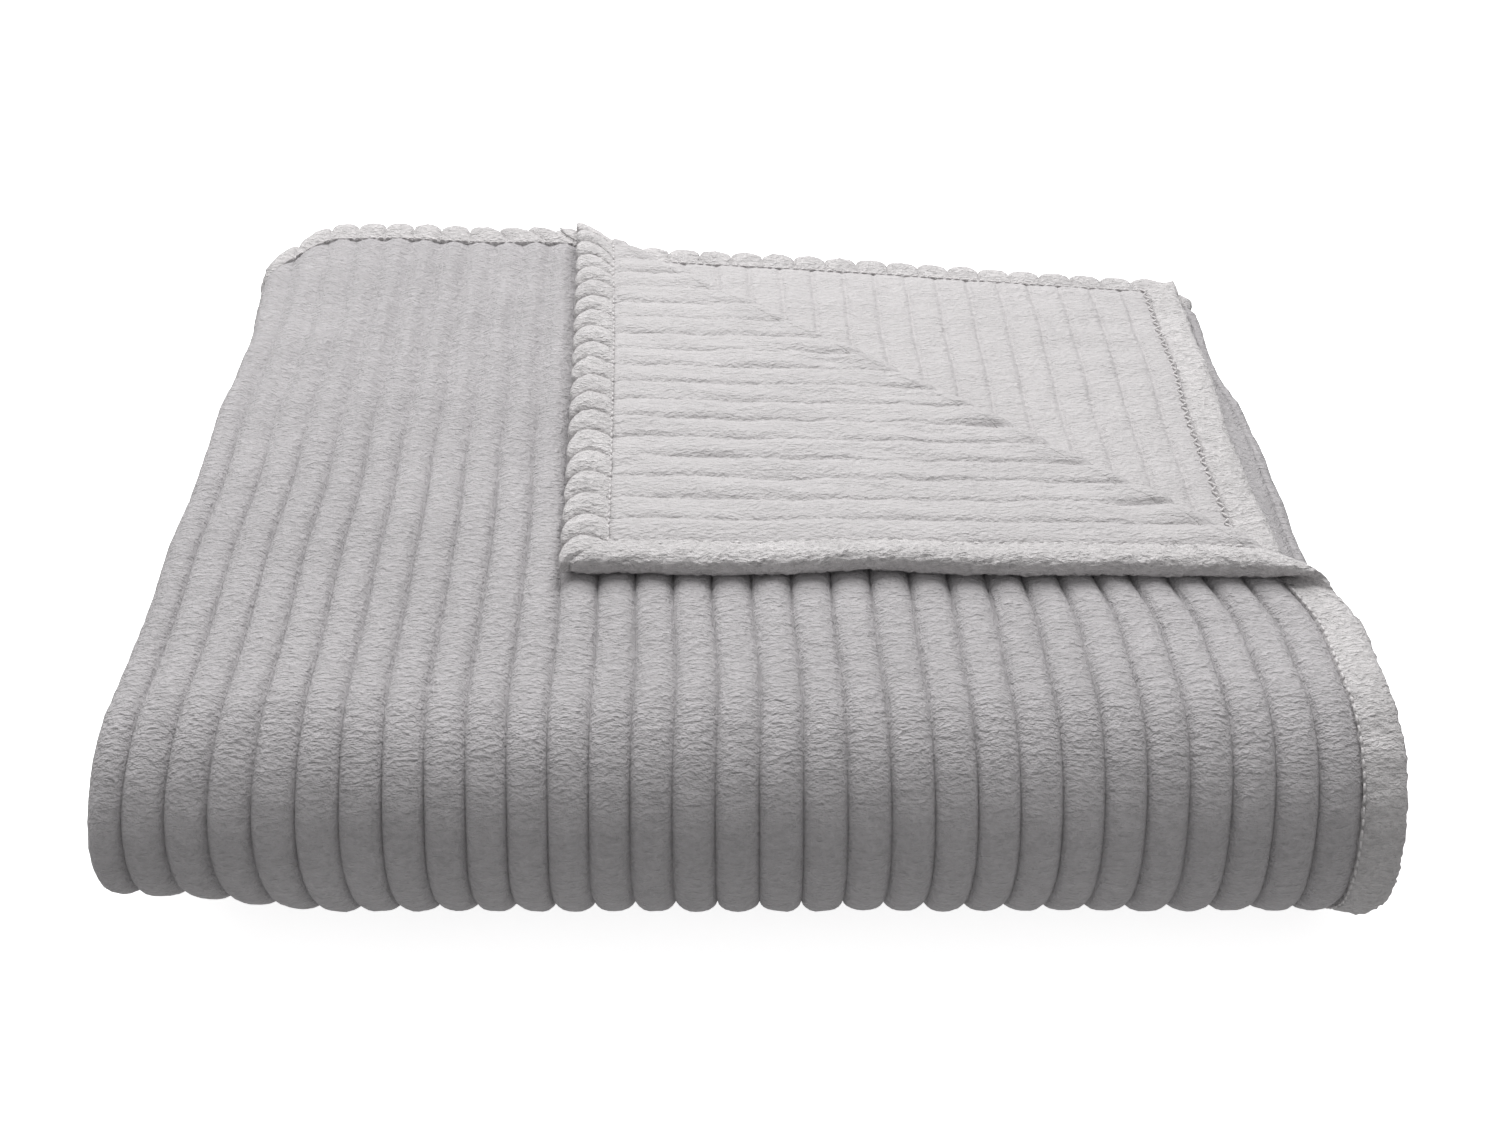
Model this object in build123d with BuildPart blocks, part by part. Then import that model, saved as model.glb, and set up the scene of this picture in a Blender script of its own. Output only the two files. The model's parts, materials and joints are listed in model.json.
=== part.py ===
from build123d import *
import math
import os

# A ribbed plush throw, folded in half twice across its width and in half twice
# along its length, with one corner of the top layer turned back.
# +X runs across the ribs to the right, +Y along them to the back, +Z up.
# The origin is on the floor, under the middle of the pile. Millimetres.

# Driving dimensions
width = 388.0  # left folds to right hems, across the ribs
depth = 334.0  # front roll to back hems, along the ribs
cloth = 4.5  # one layer of plush as it lies in the pile
layer_gap = 0.35  # air between two layers
flap_gap = 1.5  # air under the turned corner, whose ribs cross the ribs below
corner_size = 240.0  # side of the turned corner, where the flat top has room for it
corner_room = 15.0  # flat cloth left beyond each end of the turned corner's fold
hem_width = 11.0  # turned edge, outside its row of stitches
stitch_width = 1.4  # valley that the row of stitches pulls in
stitch_height = 3.0  # thickness of the pulled-in cloth in that valley
top_inset = 8.0  # the top leaf's side hems lie this far inside the roll's end
body_gap = 0.3  # air between pieces that move apart
fold_end_gap = 5.0  # the corner's fold stops this far short of each hem

# The pile: four leaves along the throw, each of four panels across it.
# Panel a carries one side hem and panel b the other. A left fold joins a to d,
# a smaller one inside it joins b to c, and a right fold joins c to d.
panel_names = "abcd"
panel_count = len(panel_names)
leaf_names = ("bottom_leaf", "third_leaf", "second_leaf", "top_leaf")
pitch = cloth + layer_gap
leaf_height = panel_count * pitch - layer_gap
pair_height = 2 * panel_count * pitch - layer_gap
height = len(leaf_names) * panel_count * pitch - layer_gap

# Fold radii, each to the outer face of the outermost cloth
side_fold_radius = leaf_height / 2
small_fold_radius = pitch - layer_gap / 2
front_roll_radius = height / 2
inner_roll_radius = pair_height / 2
back_roll_radius = pair_height / 2

# Stations along X and Y
left = -width / 2
right = width / 2
front = -depth / 2
back = depth / 2
left_fold_x = left + side_fold_radius
right_fold_x = right - small_fold_radius
front_roll_y = front + front_roll_radius
back_roll_y = back - back_roll_radius
top_right = right - top_inset
seam = hem_width + stitch_width

# The turned corner's side, which the flat top limits in both directions
room_x = top_right - left_fold_x - corner_room
room_y = back - front_roll_y - corner_room
corner_leg = min(corner_size, room_x, room_y)

# The turned corner. Its hinge is midway between the corner's two places, where
# x + y = hinge_sum, and its fold lies inside that line by the cloth it takes up.
corner_x = top_right - corner_leg
corner_y = back - corner_leg
hinge_sum = top_right + corner_y
fold_radius = (cloth + flap_gap) / 2
fold_take_up = math.pi / 2 * fold_radius
fold_sum = hinge_sum - fold_take_up * math.sqrt(2)
cut_sum = fold_sum - body_gap * math.sqrt(2)
fold_axis_z = height + flap_gap / 2
flap_z = height + flap_gap
top_y = front_roll_y + body_gap


def save(piece, name):
    """Label a finished piece and write it to its own file."""
    piece.part.label = name
    export_step(piece.part, f"parts/{name}.step")


def plate(name, outline, z, thickness=cloth):
    """A flat piece of cloth of the given outline, with its lower face at z."""
    with BuildPart() as piece:
        with BuildSketch(Plane.XY.offset(z)):
            with BuildLine():
                Polyline(*outline, close=True)
            make_face()
        extrude(amount=thickness)
    save(piece, name)


def stitch_row(name, outline, z):
    """The thinner strip where stitches pull a layer in, centred in the layer."""
    plate(name, outline, z + (cloth - stitch_height) / 2, stitch_height)


def rectangle(x_from, x_to, y_from, y_to):
    """Corner points of a rectangle along the axes."""
    return [(x_from, y_from), (x_to, y_from), (x_to, y_to), (x_from, y_to)]


def cut_along_x(x_from, y_from, y_to):
    """A strip along X that ends on the turned corner's cut line."""
    return [
        (x_from, y_from),
        (cut_sum - y_from, y_from),
        (cut_sum - y_to, y_to),
        (x_from, y_to),
    ]


def cut_along_y(x_from, x_to, y_from):
    """A strip along Y that ends on the turned corner's cut line."""
    return [
        (x_from, y_from),
        (x_to, y_from),
        (x_to, cut_sum - x_to),
        (x_from, cut_sum - x_from),
    ]


def half_ring(centre, outer_radius, side):
    """Section of one folded layer in the open sketch: the half on that side."""
    cut_from = Align.MIN if side < 0 else Align.MAX
    with Locations(centre):
        Circle(outer_radius)
        Circle(outer_radius - cloth, mode=Mode.SUBTRACT)
        Rectangle(
            outer_radius,
            2 * outer_radius,
            align=(cut_from, Align.CENTER),
            mode=Mode.SUBTRACT,
        )


def roll_layer(name, centre_y, centre_z, outer_radius, x_to, side):
    """One layer that turns over or under about an axis along X."""
    with BuildPart() as piece:
        with BuildSketch(Plane.YZ.offset(left_fold_x)):
            half_ring((centre_y, centre_z), outer_radius, side)
        extrude(amount=x_to - left_fold_x)
    save(piece, name)


def left_sections(leaf_centre_z):
    """Sections of a leaf's two left folds, one inside the other."""
    half_ring((left_fold_x, leaf_centre_z), side_fold_radius, -1)
    half_ring((left_fold_x, leaf_centre_z), small_fold_radius, -1)


def right_fold_z(leaf_z, a_on_top):
    """Height of a leaf's right fold, which joins the two panels farthest from a."""
    rise = small_fold_radius if a_on_top else leaf_height - small_fold_radius
    return leaf_z + rise


def leaf_folds(leaf, leaf_z, a_on_top, y_from, y_to):
    """The straight side folds of one leaf."""
    with BuildPart() as left_folds:
        with BuildSketch(Plane.XZ.offset(-y_to)):
            left_sections(leaf_z + side_fold_radius)
        extrude(amount=y_to - y_from)
    save(left_folds, f"{leaf}_left_folds")
    with BuildPart() as right_fold:
        with BuildSketch(Plane.XZ.offset(-y_to)):
            centre = (right_fold_x, right_fold_z(leaf_z, a_on_top))
            half_ring(centre, small_fold_radius, 1)
        extrude(amount=y_to - y_from)
    save(right_fold, f"{leaf}_right_fold")


def roll_folds(roll, centre_y, centre_z, leaf_z, a_on_top, turn):
    """Side folds carried round a roll, from the leaf at leaf_z to the one below."""
    axis = Axis((0, centre_y, centre_z), (turn, 0, 0))
    with BuildPart() as left_folds:
        with BuildSketch(Plane.XZ.offset(-centre_y)):
            left_sections(leaf_z + side_fold_radius)
        revolve(axis=axis, revolution_arc=180)
    save(left_folds, f"{roll}_left_folds")
    with BuildPart() as right_fold:
        with BuildSketch(Plane.XZ.offset(-centre_y)):
            centre = (right_fold_x, right_fold_z(leaf_z, a_on_top))
            half_ring(centre, small_fold_radius, 1)
        revolve(axis=axis, revolution_arc=180)
    save(right_fold, f"{roll}_right_fold")


def hidden_leaf(level, y_to):
    """One of the three leaves under the top one, all of plain panels."""
    leaf = leaf_names[level]
    leaf_z = level * panel_count * pitch
    a_on_top = level % 2 == 1
    for place in range(panel_count):
        panel = panel_names[::-1][place] if a_on_top else panel_names[place]
        x_to = right if panel in "ab" else right_fold_x
        outline = rectangle(left_fold_x, x_to, front_roll_y, y_to)
        plate(f"{leaf}_panel_{panel}", outline, leaf_z + place * pitch)
    leaf_folds(leaf, leaf_z, a_on_top, front_roll_y, y_to)


def top_leaf():
    """The top leaf, whose panel a has lost the corner that is turned back."""
    leaf_z = height - leaf_height
    z_of = {name: height - cloth - i * pitch for i, name in enumerate(panel_names)}
    leaf_folds("top_leaf", leaf_z, True, top_y, back)

    inner = cut_along_x(left_fold_x, top_y, back - seam)
    side_x = top_right - seam
    inner[1:2] = [(side_x, top_y), (side_x, cut_sum - side_x)]
    plate("top_leaf_panel_a", inner, z_of["a"])
    back_hem = cut_along_x(left_fold_x, back - hem_width, back)
    plate("panel_a_back_hem", back_hem, z_of["a"])
    back_row = cut_along_x(left_fold_x, back - seam, back - hem_width)
    stitch_row("panel_a_back_stitches", back_row, z_of["a"])
    side_hem = cut_along_y(top_right - hem_width, top_right, top_y)
    plate("panel_a_side_hem", side_hem, z_of["a"])
    side_row = cut_along_y(side_x, top_right - hem_width, top_y)
    stitch_row("panel_a_side_stitches", side_row, z_of["a"])

    inner = rectangle(left_fold_x, side_x, top_y, back - seam)
    plate("top_leaf_panel_b", inner, z_of["b"])
    back_hem = rectangle(left_fold_x, top_right, back - hem_width, back)
    plate("panel_b_back_hem", back_hem, z_of["b"])
    back_row = rectangle(left_fold_x, side_x, back - seam, back - hem_width)
    stitch_row("panel_b_back_stitches", back_row, z_of["b"])
    hem_x = top_right - hem_width
    side_hem = rectangle(hem_x, top_right, top_y, back - hem_width)
    plate("panel_b_side_hem", side_hem, z_of["b"])
    side_row = rectangle(side_x, hem_x, top_y, back - hem_width)
    stitch_row("panel_b_side_stitches", side_row, z_of["b"])

    for panel in "cd":
        outline = rectangle(left_fold_x, right_fold_x, top_y, back)
        plate(f"top_leaf_panel_{panel}", outline, z_of[panel])


def corner_flap():
    """The turned corner, reverse side up, with its two hems and its fold."""
    seam_x = corner_x + seam
    seam_y = corner_y + seam
    body = [(seam_x, seam_y), (cut_sum - seam_y, seam_y), (seam_x, cut_sum - seam_x)]
    plate("corner_flap", body, flap_z)
    hem_x = corner_x + hem_width
    hem_y = corner_y + hem_width
    plate("flap_back_hem", cut_along_y(corner_x, hem_x, corner_y), flap_z)
    plate("flap_side_hem", cut_along_x(hem_x, corner_y, hem_y), flap_z)
    back_row = cut_along_y(hem_x, seam_x, hem_y)
    stitch_row("flap_back_stitches", back_row, flap_z)
    side_row = cut_along_x(seam_x, hem_y, seam_y)
    stitch_row("flap_side_stitches", side_row, flap_z)

    fold_leg = corner_leg - fold_take_up * math.sqrt(2)
    fold_length = fold_leg * math.sqrt(2) - 2 * fold_end_gap
    middle = (corner_x + fold_leg / 2, corner_y + fold_leg / 2)
    along = Plane(origin=(*middle, fold_axis_z), x_dir=(1, 1, 0), z_dir=(1, -1, 0))
    with BuildPart() as fold:
        with BuildSketch(along.offset(-fold_length / 2)):
            half_ring((0, 0), cloth + flap_gap / 2, 1)
        extrude(amount=fold_length)
    save(fold, "corner_fold")


def front_roll():
    """The last fold, which wraps the front of the whole pile."""
    centre_z = height / 2
    for i, panel in enumerate(panel_names):
        x_to = right - seam if panel in "ab" else right_fold_x
        radius = front_roll_radius - i * pitch
        name = f"front_roll_panel_{panel}"
        roll_layer(name, front_roll_y, centre_z, radius, x_to, -1)
    with BuildPart() as hems:
        with BuildSketch(Plane.YZ.offset(right - hem_width)):
            for i in range(2):
                radius = front_roll_radius - i * pitch
                half_ring((front_roll_y, centre_z), radius, -1)
        extrude(amount=hem_width)
    save(hems, "front_roll_side_hems")
    with BuildPart() as rows:
        with BuildSketch(Plane.YZ.offset(right - seam)):
            for i in range(2):
                radius = front_roll_radius - i * pitch
                half_ring((front_roll_y, centre_z), radius, -1)
        extrude(amount=stitch_width)
    save(rows, "front_roll_side_stitches")
    leaf_z = height - leaf_height
    roll_folds("front_roll", front_roll_y, centre_z, leaf_z, True, 1)


def inner_roll():
    """The front fold that lies inside the last one."""
    centre_z = height / 2
    for i, panel in enumerate(reversed(panel_names)):
        x_to = right if panel in "ab" else right_fold_x
        radius = inner_roll_radius - i * pitch
        name = f"inner_roll_panel_{panel}"
        roll_layer(name, front_roll_y, centre_z, radius, x_to, -1)
    leaf_z = 2 * panel_count * pitch
    roll_folds("inner_roll", front_roll_y, centre_z, leaf_z, False, 1)


def back_roll():
    """The first fold along the throw, at the back of the two lowest leaves."""
    centre_z = pair_height / 2
    for i, panel in enumerate(panel_names):
        x_to = right if panel in "ab" else right_fold_x
        radius = back_roll_radius - i * pitch
        name = f"back_roll_panel_{panel}"
        roll_layer(name, back_roll_y, centre_z, radius, x_to, 1)
    leaf_z = panel_count * pitch
    roll_folds("back_roll", back_roll_y, centre_z, leaf_z, True, -1)


os.makedirs("parts", exist_ok=True)
hidden_leaf(0, back_roll_y)
hidden_leaf(1, back_roll_y)
hidden_leaf(2, back)
top_leaf()
corner_flap()
front_roll()
inner_roll()
back_roll()
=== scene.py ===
import json
import math

import bmesh
import bpy
import numpy as np
from bpy.props import FloatProperty, FloatVectorProperty, PointerProperty
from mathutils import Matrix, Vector


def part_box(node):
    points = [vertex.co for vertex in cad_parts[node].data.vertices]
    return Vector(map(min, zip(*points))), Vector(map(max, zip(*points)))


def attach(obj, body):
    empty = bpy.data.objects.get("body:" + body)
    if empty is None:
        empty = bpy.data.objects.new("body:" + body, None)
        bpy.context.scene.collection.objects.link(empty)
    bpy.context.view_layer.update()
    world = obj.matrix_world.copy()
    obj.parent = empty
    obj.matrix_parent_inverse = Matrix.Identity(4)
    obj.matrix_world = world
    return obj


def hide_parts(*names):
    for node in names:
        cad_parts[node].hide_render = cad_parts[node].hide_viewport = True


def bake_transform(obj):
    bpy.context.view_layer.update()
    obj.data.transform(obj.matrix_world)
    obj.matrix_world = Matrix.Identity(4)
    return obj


bl_info = {
    "name": "Folded Ribbed Throw",
    "version": (1, 0, 0),
    "blender": (4, 5, 0),
    "location": "3D View > Sidebar > Throw",
    "description": "A ribbed plush throw folded in a pile with one corner turned back",
    "category": "Object",
}

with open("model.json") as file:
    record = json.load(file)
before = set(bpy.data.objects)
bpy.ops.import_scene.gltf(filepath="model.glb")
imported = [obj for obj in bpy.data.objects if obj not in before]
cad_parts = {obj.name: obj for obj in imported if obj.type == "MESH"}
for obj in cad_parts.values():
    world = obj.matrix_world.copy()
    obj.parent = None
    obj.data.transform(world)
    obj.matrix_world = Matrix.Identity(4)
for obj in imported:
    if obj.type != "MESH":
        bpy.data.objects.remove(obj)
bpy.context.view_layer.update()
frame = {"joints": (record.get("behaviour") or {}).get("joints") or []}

# Places and sizes of the pile, read from the frame, in metres
PANEL_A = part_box("top_leaf_panel_a")
PANEL_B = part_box("top_leaf_panel_b")
PANEL_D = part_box("top_leaf_panel_d")
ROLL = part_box("front_roll_panel_a")
BACK_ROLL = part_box("back_roll_panel_a")
TOP = PANEL_A[1].z
CLOTH = PANEL_A[1].z - PANEL_A[0].z
PITCH = PANEL_A[1].z - PANEL_B[1].z
GAP = PITCH - CLOTH
LEAF = 4 * PITCH - GAP
LEFT_X = PANEL_D[0].x
RIGHT_X = PANEL_D[1].x
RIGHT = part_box("front_roll_side_hems")[1].x
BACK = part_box("panel_b_back_hem")[1].y
FRONT = ROLL[0].y
ROLL_Y = ROLL[1].y
BACK_ROLL_Y = BACK_ROLL[0].y
BACK_RADIUS = (BACK_ROLL[1].z - BACK_ROLL[0].z) / 2
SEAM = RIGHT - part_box("front_roll_side_stitches")[0].x
FLAP_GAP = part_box("corner_flap")[0].z - TOP
JOINTS = {joint["name"]: joint for joint in frame["joints"]}
CORNER_HINGE = JOINTS["corner_fold_line"]["pos_m"]

# The path of the pile's outer face, from the top leaf's back hem to the second's
ROLL_RADIUS = TOP / 2
INNER_MIDDLE = BACK_RADIUS / 2
LENGTHS = [
    BACK - ROLL_Y,
    math.pi * ROLL_RADIUS,
    BACK_ROLL_Y - ROLL_Y,
    math.pi * BACK_RADIUS,
    BACK_ROLL_Y - ROLL_Y,
    math.pi * INNER_MIDDLE,
    BACK - ROLL_Y,
]
ENDS = np.cumsum([0.0] + LENGTHS)

# The edges of panels a and b stand a little inside the end of the roll
EDGE_A = RIGHT - 0.003
EDGE_B = RIGHT - 0.010
FOLD_MIDDLE = LEAF / 2 - CLOTH / 2
SMALL_MIDDLE = PITCH - GAP / 2 - CLOTH / 2
WIDTHS = [
    EDGE_A - LEFT_X,
    math.pi * FOLD_MIDDLE,
    RIGHT_X - LEFT_X,
    math.pi * SMALL_MIDDLE,
    RIGHT_X - LEFT_X,
    math.pi * SMALL_MIDDLE,
    EDGE_B - LEFT_X,
]
EDGES = np.cumsum([0.0] + WIDTHS)

# The turned corner's fold, inside its hinge by half of the cloth that it takes up
FOLD_RADIUS = (CLOTH + FLAP_GAP) / 2
HINGE_SUM = CORNER_HINGE[0] + CORNER_HINGE[1]
FOLD_SUM = HINGE_SUM - math.pi / 2 * FOLD_RADIUS * math.sqrt(2)
TUCK = 0.003
CUT_SUM = FOLD_SUM - TUCK * math.sqrt(2)
PAST_SUM = FOLD_SUM + (math.pi * FOLD_RADIUS + 0.002) * math.sqrt(2)
HEM_CUT = BACK + EDGE_A - CUT_SUM
BEND_CUT = BACK + EDGE_A - PAST_SUM

# Panel b's ribs lie half a rib out of step with those of the turned corner
SHIFT = 0.0062

# Shares of one rib at which a cross-section has points: close in the valleys
RIB_STEPS = (0.0, 0.04, 0.1, 0.2, 0.34, 0.5, 0.66, 0.8, 0.9, 0.96)
SPARE_STEPS = (0.0, 0.25, 0.5, 0.75)

# How the pile has settled: how far its back is skewed, its corners have rounded
# and sunk, and its left and right sides have moved inward
SKEW = 0.007
SKEW_PER_METRE = 0.15
BACK_LEFT_ROUND = 0.040
LEAN_LEFT = 0.0165
INWARD_LEFT = 0.0068
INWARD_RIGHT = 0.003
DROOP_LEFT = 0.004
DROOP_BACK_LEFT = 0.004
DROOP_RIGHT = 0.003
WAVE = 0.0016
FRONT_LEFT_CURL = 0.019
RIGHT_FOOT_TUCK = 0.006

# Limits of the ribbed face and of the reverse, from the middle of the cloth. The
# pieces with a grooved reverse have shallower ribs, which keeps the two apart
VALLEY_FLOOR = -0.00105
REVERSE_LIMIT = -0.0017
GROOVED_LIMIT = -0.0007

# Beside a row of stitches: the share of its thickness that the cloth keeps, and
# the distance over which it plumps up again
SEAM_SHARE = 0.45
SEAM_SLOPE = 0.0045

# Hems, as shares of the hem thickness, and the shape of the turned corner's own
UNDER_SHARE = 0.85
HIDDEN_SHARE = 0.8
CORNER_SIDE_SHARE = 1.12
CORNER_BACK_SHARE = 1.35
CORNER_RING = 40
CORNER_BOW = 0.0026
CORNER_SWELL = 0.003

# Thread: radius, length and spacing of its stitches, and its place in the pile
THREAD_RADIUS = 0.00042
THREAD_SAG = 0.0003
STITCH_LENGTH = 0.0026
STITCH_PITCH = 0.0034
STITCH_DEPTH = 0.0012
ZIGZAG_DEPTH = 0.0018
ZIGZAG_WIDTH = 0.0024


def ease(x):
    """Smooth step from 0 to 1."""
    x = np.clip(x, 0.0, 1.0)
    return x * x * (3 - 2 * x)


def drift(u, v, seed, waves=6):
    """Smooth wandering between about -1 and 1, the same on every run."""
    rng = np.random.default_rng(seed)
    total = np.zeros(np.broadcast(u, v).shape)
    for _ in range(waves):
        angle = rng.uniform(0, 2 * math.pi)
        pace = rng.uniform(0.6, 1.6)
        phase = rng.uniform(0, 2 * math.pi)
        run = u * math.cos(angle) + v * math.sin(angle)
        total += np.sin(2 * math.pi * pace * run + phase)
    return total / math.sqrt(2 * waves)


def rib(t, pitch):
    """Height of a rounded rib, 0 in the valley and 1 along its crest."""
    across = np.abs(2 * np.mod(t / pitch, 1.0) - 1)
    return (1 - across**2.6) ** 0.62


def groove(t, pitch, width):
    """Depth of the narrow groove that a valley leaves on the reverse."""
    across = np.mod(t / pitch + 0.5, 1.0) - 0.5
    return np.exp(-((across * pitch / width) ** 2))


def along_pile(s):
    """Place and outward normal of the pile's outer face at s along the throw."""
    y = np.zeros_like(s)
    z = np.zeros_like(s)
    ny = np.zeros_like(s)
    nz = np.zeros_like(s)

    def straight(leg, y_from, sign, height, normal):
        here = (s >= ENDS[leg]) & (s <= ENDS[leg + 1])
        y[here] = y_from + sign * (s[here] - ENDS[leg])
        z[here] = height
        ny[here] = 0.0
        nz[here] = normal

    def turned(leg, centre, radius, first, sweep, facing):
        here = (s >= ENDS[leg]) & (s <= ENDS[leg + 1])
        angle = first + sweep * (s[here] - ENDS[leg]) / LENGTHS[leg]
        y[here] = centre[0] + radius * np.cos(angle)
        z[here] = centre[1] + radius * np.sin(angle)
        ny[here] = facing * np.cos(angle)
        nz[here] = facing * np.sin(angle)

    half = math.pi / 2
    pair = 2 * BACK_RADIUS
    turned(1, (ROLL_Y, TOP / 2), ROLL_RADIUS, half, math.pi, 1)
    turned(3, (BACK_ROLL_Y, BACK_RADIUS), BACK_RADIUS, -half, math.pi, 1)
    turned(5, (ROLL_Y, TOP / 2), GAP / 2, -half, -math.pi, -1)
    straight(0, BACK, -1, TOP, 1)
    straight(2, ROLL_Y, 1, 0.0, -1)
    straight(4, BACK_ROLL_Y, -1, pair, 1)
    straight(6, ROLL_Y, 1, pair + GAP, -1)
    return y, z, ny, nz


def across_pile(t):
    """Middle of the cloth (x, depth) and its outer normal at t across the throw."""
    x = np.zeros_like(t)
    depth = np.zeros_like(t)
    nx = np.zeros_like(t)
    nd = np.zeros_like(t)
    half_cloth = CLOTH / 2
    levels = [
        (0, EDGE_A, -1, half_cloth, -1),
        (2, LEFT_X, 1, LEAF - half_cloth, 1),
        (4, RIGHT_X, -1, 2 * PITCH + half_cloth, -1),
        (6, LEFT_X, 1, PITCH + half_cloth, 1),
    ]
    folds = [
        (1, LEFT_X, LEAF / 2, FOLD_MIDDLE, -1, 1, 1),
        (3, RIGHT_X, LEAF - SMALL_MIDDLE - half_cloth, SMALL_MIDDLE, 1, -1, 1),
        (5, LEFT_X, LEAF / 2, SMALL_MIDDLE, -1, -1, -1),
    ]
    for leg, centre_x, centre_d, radius, side, down, facing in folds:
        here = (t >= EDGES[leg]) & (t <= EDGES[leg + 1])
        angle = math.pi * (t[here] - EDGES[leg]) / WIDTHS[leg]
        out_x = side * np.sin(angle)
        out_d = -down * np.cos(angle)
        x[here] = centre_x + radius * out_x
        depth[here] = centre_d + radius * out_d
        nx[here] = facing * out_x
        nd[here] = facing * out_d
    for leg, x_from, sign, level, facing in levels:
        here = (t >= EDGES[leg]) & (t <= EDGES[leg + 1])
        x[here] = x_from + sign * (t[here] - EDGES[leg])
        depth[here] = level
        nx[here] = 0.0
        nd[here] = facing
    return x, depth, nx, nd


def settled(points):
    """The plump, slightly skewed shape that the whole pile has taken."""
    x, y, z = points[..., 0].copy(), points[..., 1].copy(), points[..., 2].copy()
    x0, y0 = x.copy(), y.copy()
    reach = np.maximum(y - FRONT, 0) / (BACK - FRONT)
    high = z / TOP
    left_end = ease((-0.165 - x) / 0.04)
    y += -(SKEW + SKEW_PER_METRE * x) * reach**2
    y -= BACK_LEFT_ROUND * left_end * ease((reach - 0.5) / 0.5)
    lean = LEAN_LEFT * reach**1.5 * ease((0.17 - x) / 0.25)
    inward_left = INWARD_LEFT * ease(-x / 0.19)
    inward_right = INWARD_RIGHT + (0.004 + 0.0035 * high) * ease((y + 0.105) / 0.04)
    x += inward_left - lean - inward_right * ease(x / 0.18)
    droop = DROOP_LEFT * ease((-0.14 - x) / 0.06)
    droop += DROOP_BACK_LEFT * left_end * ease((reach - 0.45) / 0.55)
    droop += DROOP_RIGHT * ease((x - 0.12) / 0.07) * ease((reach - 0.2) / 0.5)
    # Under the turned corner the top stays level, so that the corner can lie on it
    level = ease((x0 + 0.1) / 0.035) * ease((y0 + 0.115) / 0.03)
    z *= 1 - droop * (1 - level) / TOP
    z += WAVE * drift(x * 3.2, y * 2.6, 11) * np.clip(high, 0, 1.2) * (1 - level)
    curl = ease((-0.120 - x) / 0.065) * ease((-0.09 - y) / 0.04)
    z += FRONT_LEFT_CURL * curl * np.clip(1 - 2 * high, 0, 1) ** 1.5
    x -= RIGHT_FOOT_TUCK * ease((x - 0.16) / 0.03) * np.clip(1 - 3.2 * high, 0, 1) ** 2
    return np.stack([x, y, np.maximum(z, 0.0)], axis=-1)


def ragged(x, t, s):
    """How far the folds and hems stand out of line from layer to layer."""
    right_side = ease((x - 0.08) / 0.1)
    left_side = ease((-0.1 - x) / 0.08)
    return (
        0.0022 * right_side * drift(t * 2.0, s * 5.0, 21)
        + 0.0016 * left_side * drift(t * 1.5, s * 4.0, 22)
        + 0.0008 * drift(t * 7.0, s * 13.0, 23)
    )


def place(t, s, w):
    """Points at t across, s along and w out of the middle of the folded cloth."""
    t, s, w = np.broadcast_arrays(t, s, w)
    t, s = t.astype(float).copy(), s.astype(float).copy()
    x, depth, nx, nd = across_pile(t)
    y, z, ny, nz = along_pile(s)
    x = x + nx * w
    depth = depth + nd * w
    y = y - ny * depth
    z = z - nz * depth
    end = np.minimum(s, ENDS[-1] - s)
    y = y + 0.0025 * ease((0.12 - end) / 0.12) * drift(t * 4.5, t * 0.0, 24)
    x = x + ragged(x, t, s)
    return settled(np.stack([x, y, z], axis=-1))


def turn_corner(x, y, n):
    """Wraps the flat top layer's corner over its diagonal fold. n is above TOP."""
    off = (x + y - FOLD_SUM) / math.sqrt(2)
    line = (x - y) / math.sqrt(2)
    rise = FLAP_GAP / 2
    radius = rise - n
    angle = np.clip(off / FOLD_RADIUS, 0, math.pi)
    beyond = np.maximum(off - math.pi * FOLD_RADIUS, 0)
    turned_off = np.where(off > 0, radius * np.sin(angle) - beyond, off)
    turned_n = np.where(off > 0, rise - radius * np.cos(angle), n)
    new_x = (FOLD_SUM + math.sqrt(2) * (turned_off + line)) / 2
    new_y = (FOLD_SUM + math.sqrt(2) * (turned_off - line)) / 2
    return new_x, new_y, turned_n, beyond


def place_corner(t, s, w):
    """Like place, for the part of panel a that is turned back."""
    t, s, w = np.broadcast_arrays(t, s, w)
    x = EDGE_A - t
    y = BACK - s
    x = x + ragged(x, t, s) * ease((CUT_SUM + 0.004 - x - y) / 0.004)
    x = x + 0.0008 * drift(t * 7.0, s * 13.0, 23) * ease((x + y - CUT_SUM) / 0.004)
    x, y, n, beyond = turn_corner(x, y, w - CLOTH / 2)
    spread = ease(beyond / 0.03)
    # It stays low near its fold, to press less into the next layer when laid flat
    n = n - spread * 0.0004 + beyond * 0.0045 * (1 + drift(x * 6.0, y * 9.0, 31))
    n = n + beyond * 0.002 * drift(x * 9.0, y * 60.0, 32)
    y = y + spread * 0.0012 * drift(x * 13.0, y * 0.0, 33)
    return settled(np.stack([x, y, TOP + n], axis=-1))


def stations(start, stop, pitch, steps):
    """Points between two places, on the ribs' own steps, with both ends kept."""
    first = math.floor(start / pitch)
    last = math.ceil(stop / pitch)
    places = [(k + step) * pitch for k in range(first, last) for step in steps]
    inside = [p for p in places if start + 0.0004 < p < stop - 0.0004]
    return np.array([start] + inside + [stop])


def evenly(start, stop, step):
    """Evenly spaced places about step apart, with both ends kept."""
    return np.linspace(start, stop, max(2, int(round(abs(stop - start) / step)) + 1))


def seam_pinch(t, s):
    """Share of its thickness that the cloth keeps beside its rows of stitches."""
    edge = np.minimum(t, np.minimum(s, ENDS[7] - s))
    return SEAM_SHARE + (1 - SEAM_SHARE) * ease((edge - SEAM) / SEAM_SLOPE)


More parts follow.
